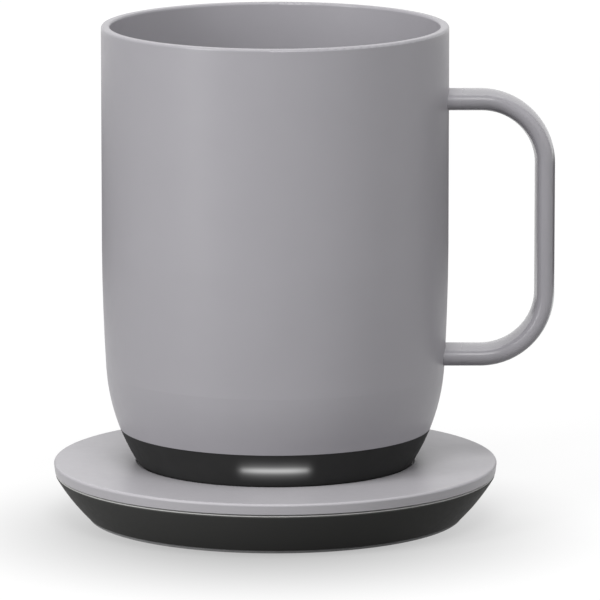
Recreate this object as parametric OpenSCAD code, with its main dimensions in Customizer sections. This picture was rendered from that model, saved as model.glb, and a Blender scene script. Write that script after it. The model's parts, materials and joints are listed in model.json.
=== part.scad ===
// Self-heating mug on its charging coaster: a double-walled steel cup with a side handle, a dark
// base that holds the battery, heater and controls, and a round coaster with two sprung pins.
// Millimetres. The origin is the centre of the coaster's underside, +Z is up, +X points to the
// handle and -Y is the front, where the status light is. Heights named _h start at the mug's foot.

/* [Mug walls] */
// Outside diameter of the mug's straight side
mug_d = 86; // [82:0.5:92]
// Height of the mug from its foot ring to the top of its rim
mug_h = 110.1; // [104:0.1:125]
// Thickness of the steel in the outer shell and the inner cup
steel_t = 0.6; // [0.4:0.05:0.8]
// Width of the rolled rim, from the outside to the inside of the cup
rim_t = 2.2; // [2:0.1:3]
// Height of the rim above the outer shell's top edge
lip_h = 1.4; // [1:0.1:2.5]
// Rounding of the rim's two edges
rim_fillet = 0.6; // [0.2:0.05:0.8]
// Radius between the cup's floor and its wall
cup_corner_r = 10; // [7:0.5:12]
// Height where the straight side begins to draw in
waist_h = 56.9; // [48:0.1:68]
// Radius of the long, slight curve below that height
waist_r = 556; // [480:1:700]
// Height where the tighter curve of the base begins
knee_h = 24.7; // [23:0.1:26]
// Radius of the tighter curve
knee_r = 49.8; // [47:0.1:54]

/* [Handle] */
// How far the handle stands out from the mug's side
handle_reach = 26.3; // [22:0.1:32]
// Height of the middle of the handle's upper bar
handle_top_h = 91.6; // [84:0.1:96]
// Height of the middle of the handle's lower bar
handle_low_h = 27.5; // [26:0.1:34]
// Width of the handle across the hand
handle_w = 13.8; // [11:0.1:16]
// Thickness of the handle in the middle of its width
handle_t = 5; // [4.2:0.1:6]
// Radius of the handle's rounded long edges
handle_edge_r = 2; // [1.4:0.05:2.05]
// Outside radius of the handle's two bends
handle_corner_r = 18.4; // [14:0.1:20]

/* [Mug base] */
// Height of the dark base up to the steel shell
base_h = 9.5; // [9.4:0.1:10.6]
// Wall of the base housing
base_wall = 1.8; // [1.4:0.1:2.2]
// Height of the spigot that goes up inside the steel shell
spigot_h = 6.1; // [5:0.1:7]
// Wall of the spigot
spigot_t = 1.6; // [1.4:0.1:2]
// Height of the groove for the sealing ring above the seam
seal_rise = 1.7; // [1.4:0.1:3]
// Depth of the groove for the sealing ring
seal_depth = 0.9; // [0.6:0.1:1]
// Bevel round the lower edge of the base
base_bevel = 0.2; // [0.1:0.1:0.8]
// Width of the base's land round the bottom cover
base_land = 2.5; // [2:0.1:3.2]
// Thickness of the bottom cover
cover_t = 2.3; // [2:0.1:2.5]
// Thickness of the flange that the bottom cover is screwed to
cover_flange_t = 1.6; // [1.2:0.1:2]
// Depth of the round pocket in the cover that holds the contacts
contact_pocket = 0.8; // [0.5:0.1:1]
// How far the soft foot ring stands out below the cover
foot_proud = 0.3; // [0.2:0.05:0.5]
// Distance from the cover's edge to the middle of the soft foot ring and of its screws
foot_inset = 2.4; // [2.2:0.1:3]
// Width of the soft foot ring
foot_ring_w = 3.2; // [3:0.1:3.4]
// Depth of the foot ring's groove
foot_groove = 0.8; // [0.6:0.05:0.9]

/* [Charging contacts] */
// Diameter along the middle of the inner contact ring, and across to the inner pin
inner_contact_d = 10; // [9.6:0.1:11]
// Diameter along the middle of the outer contact ring, and across to the outer pin
outer_contact_d = 21; // [19.6:0.1:22]
// Width of both contact rings
contact_w = 3; // [2.4:0.1:3.4]
// Thickness of both contact rings
contact_t = 0.5; // [0.3:0.05:0.7]
// Diameter of the posts from the rings to the control board
post_d = 1.4; // [1:0.1:1.8]
// Diameter of a charging pin's tip
pin_d = 2.2; // [1.8:0.1:2.4]
// Height of a pin's tip above the coaster's contact hub
pin_proud = 1; // [0.6:0.1:1]
// Diameter of a pin's collar
pin_collar_d = 3.3; // [3:0.1:3.6]
// Thickness of a pin's collar
pin_collar_t = 1.1; // [0.8:0.1:1.4]
// Wall of a pin's barrel
barrel_wall = 0.45; // [0.35:0.05:0.6]
// Length of the barrel's narrow neck
barrel_neck = 1.4; // [1.2:0.1:1.8]
// Wire diameter of the pin springs and the button spring
wire_d = 0.4; // [0.3:0.05:0.45]

/* [Power button] */
// Gap between the button's collar and the flange round it
button_gap = 1.2; // [0.6:0.1:2]
// Diameter of the button's cap
button_d = 6.8; // [6:0.1:7]
// How far the cap lies inside the cover's underside
button_sunk = 0.4; // [0.2:0.1:0.6]
// Width of the button's collar beyond the cap
button_collar = 1; // [0.9:0.1:1.1]
// Thickness of the button's collar
button_collar_t = 0.6; // [0.4:0.1:0.7]
// Travel of the button
button_travel = 0.5; // [0.3:0.05:0.6]
// Diameter of the stem that presses the switch
button_stem_d = 3; // [2:0.1:3.4]
// Height of the stem above the collar
button_stem_h = 0.6; // [0.4:0.1:1]
// Radius of the finger hollow in the cap
button_hollow_r = 9; // [7:0.5:14]
// Width of the switch's square case
switch_w = 4.5; // [4:0.1:4.6]
// Height of the switch's case
switch_h = 1; // [0.8:0.1:1.1]
// Diameter of the switch's plunger
plunger_d = 2.4; // [1.6:0.1:2.8]
// Height of the switch's plunger
plunger_h = 0.5; // [0.3:0.1:0.6]

/* [Control board and light] */
// Gap round the control board where it goes in past the cover's flange
board_gap = 0.3; // [0.2:0.05:0.6]
// Thickness of both circuit boards
board_t = 1.2; // [0.8:0.1:1.4]
// Gap between a lamp and the board screw behind it
lamp_room = 0.25; // [0.2:0.05:0.6]
// Width of the light bar on the front of the base
light_w = 16.9; // [12:0.1:20]
// Height of the light bar
light_h = 1.5; // [1:0.1:1.6]
// How far the middle of the light bar lies below the middle of the lamps
light_drop = 0.2; // [0.1:0.05:0.25]
// Length of each lamp, square to the front
lamp_l = 2.3; // [1.8:0.1:2.4]
// Width of each lamp
lamp_w = 3.2; // [2.4:0.1:3.6]
// Height of each lamp
lamp_h = 1; // [0.8:0.1:1]
// Number of lamps behind the light bar
lamp_count = 3; // [1:1:3]
// Width of the processor's metal can
processor_w = 12; // [10:0.1:13]
// Depth of the processor's metal can
processor_l = 10; // [8:0.1:11]
// Height of the processor's metal can
processor_h = 1.6; // [1.2:0.1:1.7]
// Width and depth of the power coil
coil_w = 7; // [6:0.1:8]
// Height of the power coil
coil_h = 2.8; // [2:0.1:3]
// Diameter along the middle of the groove round the coil's core
coil_groove_d = 4.6; // [4:0.1:5]
// Width of the groove round the coil's core
coil_groove_w = 1; // [0.6:0.1:1.2]
// Depth of the groove round the coil's core
coil_groove = 1.4; // [0.6:0.1:1.8]
// Distance of the can's and the coil's outer corners from the board's edge
part_inset = 1.5; // [1:0.1:2]
// Width of the heater's socket on the board
plug_w = 8.4; // [8:0.1:9]
// Depth of the heater's socket
plug_l = 3.4; // [3:0.1:4]
// Height of the heater's socket
plug_h = 1.3; // [1:0.1:1.6]

/* [Battery] */
// Height of the ribs between the control board and the battery tray
rib_t = 3; // [2.6:0.1:3.4]
// Width of those ribs
rib_w = 7; // [6:0.1:8]
// Length of a rib inside the middle of its board screw
rib_end = 2.7; // [2.2:0.1:3.2]
// Distance of the tray screws from the inside of the spigot
tray_screw_inset = 4.8; // [4:0.1:5.4]
// Thickness of the tray's floor and of its walls
tray_t = 1.2; // [1:0.1:1.4]
// Height of the tray's walls above its floor
tray_wall_h = 4; // [2:0.1:5]
// Gap between the tray's frame and the heads of its screws
frame_gap = 4.1; // [2:0.1:6]
// Gap between the frame's corners and the heater's tail
corner_gap = 0.65; // [0.3:0.05:3]
// Thickness of one battery cell
cell_t = 7; // [5:0.1:7.2]
// Room above the cells, for them to swell
cell_room = 0.6; // [0.4:0.05:0.9]
// Rounding of a cell's upright edges
cell_edge_r = 2.5; // [1:0.1:4]
// Width of a cell's connecting tab
tab_w = 4; // [3:0.1:5]
// Distance between a cell's two connecting tabs
tab_pitch = 6.8; // [6:0.1:7]
// Gap between the inner tabs and the rib beside them
tab_gap = 0.7; // [0.4:0.05:1]
// Thickness of a cell's connecting tab
tab_t = 0.3; // [0.2:0.05:0.4]
// Height of a tab's joint on the cell's face above the tray's floor
tab_rise = 3.5; // [2:0.1:4.5]

/* [Heater] */
// Thickness of the heat spreader under the cup
spreader_t = 1.5; // [1:0.1:1.6]
// Thickness of the heater film and its tail
film_t = 0.3; // [0.2:0.05:0.4]
// Width of the heater film's tail
tail_w = 7; // [5:0.1:7.4]
// Distance of the heater's tail from the inside of the spigot
tail_inset = 1.8; // [1:0.1:2.4]
// Direction of the tail, from the handle towards the back
tail_angle = 45; // [40:1:50]
// Thickness of the insulation below the heater
insulation_t = 4.4; // [3.5:0.1:4.6]
// Gap between the insulation and the steel shell
insulation_gap = 3.8; // [2:0.1:5]
// Diameter of a temperature sensor
sensor_d = 3.2; // [2.4:0.1:4]
// Distance of the temperature sensors from the mug's axis
sensor_r = 14; // [8:0.1:24]

/* [Coaster] */
// Diameter of the coaster's plate
coaster_d = 110.4; // [109:0.1:116]
// Height of the coaster
coaster_h = 14; // [13.8:0.1:15]
// Thickness of the plate's edge
plate_t = 2.65; // [2:0.05:2.8]
// Rounding of the plate's upper edge
plate_fillet = 0.6; // [0.3:0.05:0.8]
// How far the plate's side draws in towards its lower edge
plate_taper = 0.25; // [0.1:0.05:0.5]
// Clearance round the mug's base in its seat
recess_gap = 0.4; // [0.3:0.1:3]
// Depth of the shallow seat for the mug
recess_depth = 0.8; // [0.6:0.05:1]
// Open groove between the plate and the shell below it
groove_h = 0.35; // [0.3:0.05:0.8]
// How far the shell's rim lies inside the plate's edge
shell_rim_inset = 0.5; // [0:0.05:1]
// Height of the shell's upright rim
shell_rim_h = 0.55; // [0.4:0.05:1]
// Rounding of the rim's upper edge
shell_rim_fillet = 0.3; // [0.1:0.05:0.3]
// How far the shell's side draws in from its rim to its underside
shell_draw = 7.55; // [6:0.05:10]
// Radius of the shell's bulging side
bowl_r = 50; // [30:0.5:60]
// Wall of the shell
shell_wall = 2; // [1.6:0.1:2.2]
// How far the soft foot pad lies inside the shell's underside
pad_inset = 0.5; // [0.2:0.05:3]
// Thickness of the soft foot pad
pad_t = 0.8; // [0.6:0.05:1]
// Width of the shell's tongue and of the plate's lip inside it
tongue_w = 1.4; // [1.2:0.1:1.6]
// Height of the plate's lip
plate_lip_h = 1.2; // [0.8:0.1:1.5]
// Distance of the shell screws from the edge of the shell's underside
shell_screw_inset = 6.4; // [5.6:0.1:9]
// Diameter of the plate's screw bosses
boss_d = 6.4; // [5.6:0.1:7]
// Wall of the hub outside the outer pin's barrel
hub_wall = 0.75; // [0.6:0.05:1.5]
// Width of the hub's flange under the plate
hub_flange = 1.4; // [1:0.1:1.4]
// Thickness of the hub's flange
hub_flange_t = 1.2; // [1:0.1:1.6]
// Height of the pin board above the shell's floor
pin_board_rise = 1.6; // [1.4:0.1:1.8]
// Length of the pin board
pin_board_l = 42; // [41:0.1:46]
// Width of the pin board
pin_board_w = 28; // [26:0.1:34]
// Distance of the pin board's posts from the board's edges
pin_post_inset = 3; // [2.6:0.1:3.2]
// Diameter of the pin board's posts
pin_post_d = 4.4; // [3.6:0.1:4.8]
// Diameter of the pegs on those posts
pin_peg_d = 1.8; // [1.4:0.1:2.2]

/* [Cord gland] */
// Bore of the gland for the cord
gland_bore_d = 3.8; // [3.4:0.1:4.2]
// Outside diameter of the gland's sleeve
gland_d = 6; // [5.6:0.1:6.4]
// Diameter of the gland's inner flange
gland_flange_d = 7.4; // [7:0.1:7.6]
// Thickness of the gland's inner flange
gland_flange_t = 1.2; // [0.8:0.1:1.6]
// Gap between the gland's flange and the shell's floor
gland_rise = 0.3; // [0.2:0.1:0.5]
// How far the gland's mouth lies inside the coaster's edge
gland_inset = 0.9; // [0.6:0.1:2]

/* [Screws and fits] */
// Thread diameter of the small screws in the mug's base
small_screw_d = 1.6; // [1.4:0.1:1.8]
// Head diameter of the small screws
small_head_d = 2.8; // [2.6:0.1:2.9]
// Head height of the small screws
small_head_h = 0.7; // [0.5:0.05:0.8]
// Thread diameter of the coaster's screws
shell_screw_d = 2.5; // [2:0.1:2.8]
// Head diameter of the coaster's screws
shell_head_d = 5; // [4.4:0.1:5.2]
// Head height of the coaster's screws
shell_head_h = 0.8; // [0.6:0.05:0.9]
// Clearance round seated pieces
fit_gap = 0.15; // [0.1:0.05:0.2]
// Clearance round screws, posts and running pins
pin_gap = 0.08; // [0.05:0.01:0.1]
// Clearance between pieces that move against each other
run_gap = 0.1; // [0.08:0.01:0.15]

/* [Hidden] */
$fn = 96;
// Overshoot of a cut past the face that it opens
over = 1;
// Widest radius that any half-section reaches
reach = coaster_d;

coat_grey = [0.62, 0.60, 0.63];
dark = [0.09, 0.09, 0.095];
soft_grey = [0.30, 0.30, 0.31];
steel = [0.70, 0.71, 0.73];
gold = [0.83, 0.66, 0.30];
board_green = [0.06, 0.24, 0.15];
amber = [0.72, 0.42, 0.10];
clear = [0.85, 0.88, 0.92];
cell_blue = [0.35, 0.45, 0.62];
felt = [0.86, 0.84, 0.78];

// Heights of the mug
mug_r = mug_d / 2;
seat_z = coaster_h - recess_depth;
rim_z = seat_z + mug_h;
lip_z = rim_z - lip_h;
waist_z = seat_z + waist_h;
knee_z = seat_z + knee_h;
base_top_z = seat_z + base_h;
base_low_z = seat_z + foot_proud;
cover_z = base_low_z + cover_t;
cover_flange_z = cover_z + cover_flange_t;

// Centres of the two curves that draw the mug's side in. Each runs on from the one above it, a hair
// outside, so that the two cross where they would touch
blend = 0.005;
knee_a = asin((waist_z - knee_z) / waist_r);
waist_c = [mug_r - waist_r + blend, waist_z];
knee_c = waist_c + (waist_r - knee_r + blend) * [cos(knee_a), -sin(knee_a)];

// Handle: an oval of two crowned faces and two round edges, bent into a square loop
handle_half = handle_t / 2;
edge_c = handle_w / 2 - handle_edge_r;
crown_r = (edge_c ^ 2 + handle_half ^ 2 - handle_edge_r ^ 2) / (2 * (handle_half - handle_edge_r));
crown_c = crown_r - handle_half;
crown_end = edge_c * crown_r / (crown_r - handle_edge_r);
bend_r = handle_corner_r - handle_half;
handle_x = mug_r + handle_reach - handle_half;
bend_x = handle_x - bend_r;
handle_root_x = mug_r / 2;
handle_top_z = seat_z + handle_top_h;
handle_low_z = seat_z + handle_low_h;

// Base housing and bottom cover
spigot_r = side_r(base_top_z, steel_t) - fit_gap;
spigot_in_r = spigot_r - spigot_t;
seal_z = base_top_z + seal_rise;
seal_d = side_r(seal_z, steel_t) - pin_gap - spigot_r + seal_depth;
base_low_r = side_r(base_low_z, 0);
cover_open_r = base_low_r - base_land;
cover_r = cover_open_r - fit_gap;
foot_mid_r = cover_r - foot_inset;
foot_in_r = foot_mid_r - foot_ring_w / 2;
foot_out_r = foot_mid_r + foot_ring_w / 2;
foot_groove_z = base_low_z + foot_groove;
contact_z = base_low_z + contact_pocket;
pocket_r = (outer_contact_d + contact_w) / 2 + contact_w / 2;
cover_boss_r = (small_screw_d + small_head_d) / 2;
cover_flange_in_r = foot_mid_r - cover_boss_r;
cover_screw_angles = [45, 135, 225, 315];

// Power button and switch, up to the control board above them
button_angle = 135;
button_face_z = base_low_z + button_sunk;
button_collar_z = cover_z + run_gap;
button_collar_top_z = button_collar_z + button_collar_t;
button_collar_r = button_d / 2 + button_collar;
button_r = cover_flange_in_r - button_collar_r - button_gap;
button_stem_z = button_collar_top_z + button_stem_h;
button_spring_r = button_collar_r - wire_d;
plunger_z = button_stem_z + run_gap + button_travel;
board_z = plunger_z + plunger_h + switch_h;

// Control board, with the lamps and the light bar at its front edge
board_r = cover_flange_in_r - board_gap;
board_top_z = board_z + board_t;
cover_thread_z = board_z - 2 * fit_gap;
lamp_face_r = board_r - fit_gap;
lamp_pitch = (light_w - light_h - lamp_w) / max(lamp_count - 1, 1);
light_z = board_z - lamp_h / 2 - light_drop;
guide_in_r = board_r + fit_gap;
can_place = corner_place(processor_w, processor_l);
coil_place = corner_place(coil_w, coil_w);

// Ribs, and the battery tray on them: its frame fills the room between its screws and the tail
rib_angles = [0, 90, 180, 270];
board_screw_r = lamp_face_r - lamp_l - lamp_room - small_head_d / 2;
board_thread = rib_t - 2 * fit_gap;
rib_inner_r = board_screw_r - rib_end;
rib_outer_r = spigot_in_r + (spigot_t - seal_depth) / 2;
tray_z = board_top_z + rib_t;
tray_floor_z = tray_z + tray_t;
tray_screw_r = spigot_in_r - tray_screw_inset;
tail_r = spigot_in_r - tail_inset;
tail_in_r = tail_r - film_t - fit_gap;
frame_x = tray_screw_r - small_head_d / 2 - frame_gap;
frame_y = cell_edge_r + sqrt((tail_in_r - corner_gap - cell_edge_r) ^ 2 - (frame_x - cell_edge_r) ^ 2);
cell_w = frame_x - tray_t - tray_t / 2 - 2 * fit_gap;
cell_l = 2 * (frame_y - tray_t - tab_t - fit_gap);
cells_x = tray_t / 2 + fit_gap + cell_w / 2;
tab_x = (rib_w + tab_w) / 2 + tab_gap;

// Heater on the cells, and the cup on the heater
insulation_z = tray_floor_z + cell_t + cell_room;
insulation_r = side_r(insulation_z, steel_t) - insulation_gap;
film_z = insulation_z + insulation_t;
cup_under_z = film_z + film_t + spreader_t;
cup_z = cup_under_z + steel_t;
cup_r = mug_r - rim_t;
cup_flat_r = cup_r - cup_corner_r;
film_r = cup_flat_r - fit_gap;
plug_r = board_r - plug_l / 2 - fit_gap;
plug_mid_z = board_top_z + plug_h / 2;
tail_end_r = plug_r + plug_l / 2 - film_t;

// Coaster
plate_r = coaster_d / 2;
plate_z = coaster_h - plate_t;
recess_r = base_low_r + recess_gap;
shell_top_z = plate_z - groove_h;
shell_rim_r = plate_r - shell_rim_inset;
shell_low_r = shell_rim_r - shell_draw;
shell_floor_z = pad_t + shell_wall;
bowl_c = arc_centre([shell_low_r, pad_t], [shell_rim_r, shell_top_z - shell_rim_h], bowl_r);
tongue_out_r = shell_rim_r - tongue_w;
tongue_in_r = tongue_out_r - tongue_w;
tongue_low_z = shell_top_z - tongue_w;
lip_out_r = tongue_in_r - fit_gap;
boss_angles = [30, 150, 270];
shell_screw_r = shell_low_r - shell_screw_inset;
shell_screw_z = pad_t + shell_head_h + pin_gap;
boss_hole_z = plate_z - shell_wall / 2;
pin_board_z = shell_floor_z + pin_board_rise;
pin_board_top_z = pin_board_z + board_t;
pin_post_x = pin_board_l / 2 - pin_post_inset;
pin_post_y = pin_board_w / 2 - pin_post_inset;

// Charging pins: the inner one towards the handle, the outer one away from it
inner_pin_x = inner_contact_d / 2;
outer_pin_x = -outer_contact_d / 2;
pin_top_z = seat_z + pin_proud;
barrel_r = pin_collar_d / 2 + pin_gap + barrel_wall;
barrel_top_z = seat_z - fit_gap;
barrel_step_z = barrel_top_z - barrel_neck;
pin_collar_top_z = barrel_step_z - run_gap;
pin_collar_z = pin_collar_top_z - pin_collar_t;
pin_spring_r = pin_collar_d / 2 - wire_d;
hub_r = outer_contact_d / 2 + barrel_r + pin_gap + hub_wall;

// Springs: a round wire of six sides, eight rings to a turn
wire_sides = 6;
turn_rings = 8;
pin_spring_turns = 4;
button_spring_turns = 2;

// Gland
gland_z = shell_floor_z + gland_flange_d / 2 + gland_rise;
gland_out_y = plate_r - gland_inset;
gland_drop = bowl_c.y - gland_z + gland_flange_d / 2;
gland_wall_y = bowl_c.x + sqrt((bowl_r - shell_wall) ^ 2 - gland_drop ^ 2);
gland_in_y = gland_wall_y - gland_flange_t - fit_gap;

// Sides of a large circle, so that its flats can't be told from the curve
least_sides = 180;
sides_per_mm = 3;
function arc_sides(r) = max(least_sides, ceil(sides_per_mm * r));

// Middle of a flat piece whose outer corner lies just inside the board's edge
function corner_place(w, l) = ((board_r - part_inset) / norm([w, l]) - 1 / 2) * [w, l];

// How far a lamp beside the middle one steps back, to stay within the round board
function lamp_step(x) = lamp_face_r - sqrt(lamp_face_r ^ 2 - (abs(x) + lamp_w / 2) ^ 2);

// Radius of the mug's side below the knee, drawn in by a wall, at a height
function side_r(z, inset) = knee_c.x + sqrt((knee_r - inset) ^ 2 - (z - knee_c.y) ^ 2);

// Centre of the circle through a low and a high point, on the side of the axis
function arc_centre(low, high, r) =
    let (chord = high - low, span = norm(chord), middle = (low + high) / 2)
    middle + sqrt(r ^ 2 - span ^ 2 / 4) / span * [-chord.y, chord.x];

// Corners of one ring of wire round a point of a spring
function wire_ring(centre, turn, slope) = [
    for (k = [0 : wire_sides - 1])
        let (side = 360 * k / wire_sides)
        centre + wire_d / 2 * (cos(side) * [cos(turn), sin(turn), 0]
            + sin(side) * [sin(turn) * sin(slope), -cos(turn) * sin(slope), cos(slope)])
];

// Points along the middle of a spring's wire, with a straight end of one wire diameter each way
function spring_path(r, z0, z1, turns) =
    let (
        rise = (z1 - z0) / turns,
        steps = turns * turn_rings,
        slope = atan(rise / (2 * PI * r)),
        coil = [for (i = [0 : steps])
            let (turn = 360 * i / turn_rings)
            [r * cos(turn), r * sin(turn), z0 + rise * i / turn_rings]],
        lead = wire_d * [0, cos(slope), sin(slope)]
    )
    concat([coil[0] - lead], coil, [coil[steps] + lead]);

// Least distance between turns of a spring's wire, measured surface to surface
function spring_gap(path) = min([
    for (i = [0 : len(path) - 1], j = [i + turn_rings / 2 : 1 : len(path) - 1])
        norm(path[i] - path[j])
]) - wire_d;

// Part of a circle between two heights, right of the axis
module arc_slice(centre, r, z0, z1) {
    intersection() {
        translate(centre) circle(r = r, $fn = arc_sides(r));
        translate([0, z0]) square([reach, z1 - z0]);
    }
}

// Half-section of the mug's side, drawn in by a wall, between two heights
module mug_section(inset, z0, z1) {
    translate([0, waist_z]) square([mug_r - inset, z1 - waist_z]);
    intersection() {
        translate([0, knee_z]) square([mug_r - inset, waist_z - knee_z]);
        arc_slice(waist_c, waist_r - inset, knee_z, waist_z);
    }
    intersection() {
        arc_slice(waist_c, waist_r - inset, z0, knee_z);
        arc_slice(knee_c, knee_r - inset, z0, knee_z);
    }
}

// Quarter disc, for a rounded edge
module quarter(r) {
    intersection() {
        circle(r = r);
        square(r);
    }
}

// Rectangle with round corners
module soft_rect(size, r) {
    inner = size - 2 * [r, r];
    intersection() {
        square(size, center = true);
        union() {
            square([inner.x, size.y + over], center = true);
            square([size.x + over, inner.y], center = true);
            for (x = [-1, 1], y = [-1, 1]) {
                translate([x * inner.x / 2, y * inner.y / 2]) circle(r = r + blend);
            }
        }
    }
}

// Flat ring or disc between two heights
module ring(r_out, r_in, z0, z1) {
    rotate_extrude() translate([r_in, z0]) square([r_out - r_in, z1 - z0]);
}

// Upright round bar or hole between two heights
module post(r, z0, z1) {
    translate([0, 0, z0]) cylinder(r = r, h = z1 - z0);
}

// Box that stands on a height, centred on a point
module block(size, x, y, z) {
    translate([x - size.x / 2, y - size.y / 2, z]) cube(size);
}

// Copies of the children at some angles round the axis
module around(angles, r) {
    for (a = angles) rotate(a) translate([r, 0, 0]) children();
}

// Screw with its head below its thread, between three heights
module screw_up(thread_d, head_d, head_z, seat, tip) {
    post(head_d / 2, head_z, seat);
    post(thread_d / 2, seat, tip);
}

// Coil spring between two heights
module spring(r, z0, z1, turns) {
    path = spring_path(r, z0 + wire_d / 2 + pin_gap, z1 - wire_d / 2 - pin_gap, turns);
    slope = atan((path[len(path) - 2].z - path[1].z) / (turns * 2 * PI * r));
    last = len(path) - 1;
    points = [for (i = [0 : last])
        each wire_ring(path[i], 360 * (min(max(i, 1), last - 1) - 1) / turn_rings, slope)];
    sides = [for (i = [0 : last - 1], k = [0 : wire_sides - 1])
        let (
            here = i * wire_sides + k,
            beside = i * wire_sides + (k + 1) % wire_sides
        )
        each [[here, beside, here + wire_sides], [beside, beside + wire_sides, here + wire_sides]]];
    caps = [for (k = [1 : wire_sides - 2])
        each [[0, k + 1, k], [last * wire_sides, last * wire_sides + k, last * wire_sides + k + 1]]];
    echo(least_spring_gap = spring_gap(path));
    polyhedron(points = points, faces = concat(sides, caps));
}

// Outer steel wall, open at the top for the cup and at the bottom for the base
module mug_shell() {
    color(coat_grey) rotate_extrude() difference() {
        mug_section(0, base_top_z, lip_z);
        mug_section(steel_t, base_top_z - over, lip_z + over);
    }
}

// Half-section of the rolled rim, with both upper edges rounded
module rim_section() {
    translate([cup_r, lip_z]) square([rim_t, lip_h - rim_fillet]);
    translate([cup_r + rim_fillet, rim_z - rim_fillet]) square([rim_t - 2 * rim_fillet, rim_fillet]);
    translate([mug_r - rim_fillet, rim_z - rim_fillet]) quarter(rim_fillet);
    translate([cup_r + rim_fillet, rim_z - rim_fillet]) mirror([1, 0]) quarter(rim_fillet);
}

// Inner cup: floor, rounded corner, wall and the rim that lies on the outer wall
module inner_cup() {
    corner_z = cup_z + cup_corner_r;
    color(coat_grey) rotate_extrude() {
        translate([0, cup_under_z]) square([cup_flat_r, steel_t]);
        translate([cup_flat_r, corner_z]) mirror([0, 1]) difference() {
            quarter(cup_corner_r + steel_t);
            circle(r = cup_corner_r);
        }
        translate([cup_r, corner_z]) square([steel_t, lip_z - corner_z]);
        rim_section();
    }
}

// Cross-section of the handle, thickness along X and width along Y
module handle_section() {
    intersection() {
        translate([-crown_c, 0]) circle(r = crown_r, $fn = arc_sides(crown_r));
        translate([crown_c, 0]) circle(r = crown_r, $fn = arc_sides(crown_r));
        union() {
            square([handle_w, 2 * crown_end], center = true);
            for (end = [-1, 1]) translate([0, end * edge_c]) circle(r = handle_edge_r + blend);
        }
    }
}

// Level bar of the handle, from inside the mug to the bend
module handle_bar(z) {
    translate([handle_root_x, 0, z]) rotate([0, 90, 0])
        linear_extrude(bend_x - handle_root_x) handle_section();
}

// Quarter bend of the handle round a centre at a height
module handle_bend(z, start) {
    translate([bend_x, 0, z]) rotate([90, 0, 0]) rotate(start)
        rotate_extrude(angle = 90) translate([bend_r, 0]) handle_section();
}

// Ball inside the bar, which joins two stretches of the loop
module handle_joint(x, z) {
    translate([x, 0, z]) sphere(r = handle_edge_r);
}

// Loop handle whose two ends meet the mug's side
module handle() {
    color(coat_grey) difference() {
        union() {
            handle_bar(handle_top_z);
            handle_bend(handle_top_z - bend_r, 0);
            translate([handle_x, 0, handle_low_z + bend_r])
                linear_extrude(handle_top_z - handle_low_z - 2 * bend_r) handle_section();
            handle_bend(handle_low_z + bend_r, -90);
            handle_bar(handle_low_z);
            handle_joint(bend_x, handle_top_z);
            handle_joint(handle_x, handle_top_z - bend_r);
            handle_joint(handle_x, handle_low_z + bend_r);
            handle_joint(bend_x, handle_low_z);
        }
        rotate_extrude() mug_section(0, base_top_z, lip_z);
    }
}

// Half-section of the base housing: bottom land, cover flange, side wall and spigot
module base_section() {
    difference() {
        arc_slice(knee_c, knee_r, base_low_z, cover_z);
        translate([0, base_low_z - over]) square([cover_open_r, cover_t + 2 * over]);
        polygon([
            [base_low_r - base_bevel - over, base_low_z - over],
            [base_low_r + over, base_low_z - over],
            [base_low_r + over, base_low_z + base_bevel + over]
        ]);
    }
    difference() {
        arc_slice(knee_c, knee_r, cover_z, cover_flange_z);
        translate([0, cover_z - over]) square([cover_flange_in_r, cover_flange_t + 2 * over]);
    }
    difference() {
        arc_slice(knee_c, knee_r, cover_flange_z, base_top_z);
        arc_slice(knee_c, knee_r - base_wall, cover_flange_z - over, base_top_z + over);
    }
    difference() {
        translate([spigot_in_r, base_top_z - spigot_t / 2])
            square([spigot_t, spigot_h + spigot_t / 2]);
        translate([spigot_r - seal_depth, seal_z - seal_d / 2]) square([seal_depth + over, seal_d]);
    }
}

// Outline of the light bar, thickened by a clearance
module light_outline(gap) {
    h = light_h + 2 * gap;
    square([light_w - light_h, h], center = true);
    for (x = [-1, 1]) translate([x * (light_w - light_h) / 2, 0]) circle(d = h);
}

// Bar from a radius outwards through the front of the base
module light_bar(gap, r_in) {
    translate([0, -r_in, light_z]) rotate([90, 0, 0]) linear_extrude(mug_r - r_in) light_outline(gap);
}

// Dark housing under the cup, with ribs for the tray and bosses for the cover
module base_housing() {
    hole_r = small_screw_d / 2 + pin_gap;
    color(dark) difference() {
        union() {
            rotate_extrude() base_section();
            around(cover_screw_angles, foot_mid_r) post(cover_boss_r, cover_z, cover_thread_z);
            intersection() {
                around(rib_angles, 0) translate([rib_inner_r, -rib_w / 2, board_top_z])
                    cube([rib_outer_r, rib_w, rib_t]);
                post(rib_outer_r, board_top_z, tray_z);
            }
        }
        around(cover_screw_angles, foot_mid_r) post(hole_r, cover_z - over, cover_thread_z - fit_gap);
        around(rib_angles, board_screw_r)
            post(hole_r, board_top_z - over, board_top_z + board_thread + fit_gap);
        around(rib_angles, tray_screw_r) post(hole_r, tray_z - board_thread - fit_gap, tray_z + over);
        light_bar(pin_gap, guide_in_r);
    }
}

// Sealing ring between the spigot and the steel shell
module base_seal() {
    color(soft_grey) rotate_extrude()
        translate([spigot_r - seal_depth + seal_d / 2, seal_z]) circle(d = seal_d - pin_gap);
}

// Groove for a contact ring, with holes for its posts
module contact_cut(d) {
    groove_w = contact_w + 2 * pin_gap;
    ring((d + groove_w) / 2, (d - groove_w) / 2, contact_z - over, contact_z + contact_t);
    around([90, 270], d / 2) post(post_d / 2 + pin_gap, contact_z, cover_z + over);
}

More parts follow.
